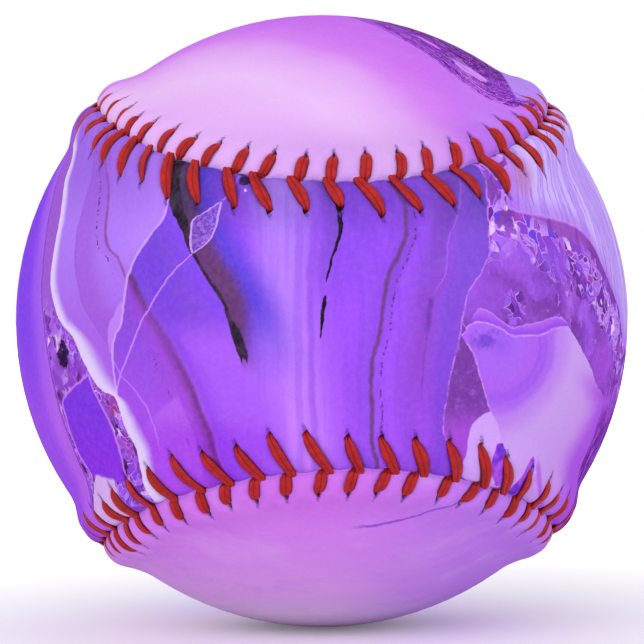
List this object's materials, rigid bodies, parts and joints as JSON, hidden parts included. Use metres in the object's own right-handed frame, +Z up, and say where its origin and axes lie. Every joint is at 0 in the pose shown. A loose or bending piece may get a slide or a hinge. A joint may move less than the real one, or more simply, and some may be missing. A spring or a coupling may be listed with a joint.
{
  "type": "softball",
  "caption": "Softball with figure-eight cover panels joined by a raised red stitched seam, over a coated yarn winding and a cork core.",
  "frame": {"origin": "centre of the ball", "axes": "+Z up, +Y away from the camera through the back panel's waist, -Y through the front panel's waist, and the front panel's lobes at +X and -X"},
  "size_m": [0.097, 0.097, 0.097],
  "materials": {
    "cork": "moulded cork and rubber mixture, matt",
    "yarn": "tightly wound twisted yarn",
    "latex": "dried rubber cement, slightly glossy",
    "printed_cover": "smooth printed cover leather with a stone-like violet pattern, satin",
    "waxed_thread": "waxed red stitching thread"
  },
  "bodies": {
    "root": {"core": "cork", "yarn_winding": "yarn", "latex_coat": "latex", "front_cover_panel": "printed_cover", "back_cover_panel": "printed_cover", "first_needle_thread": "waxed_thread", "second_needle_thread": "waxed_thread"}
  },
  "joints": []
}
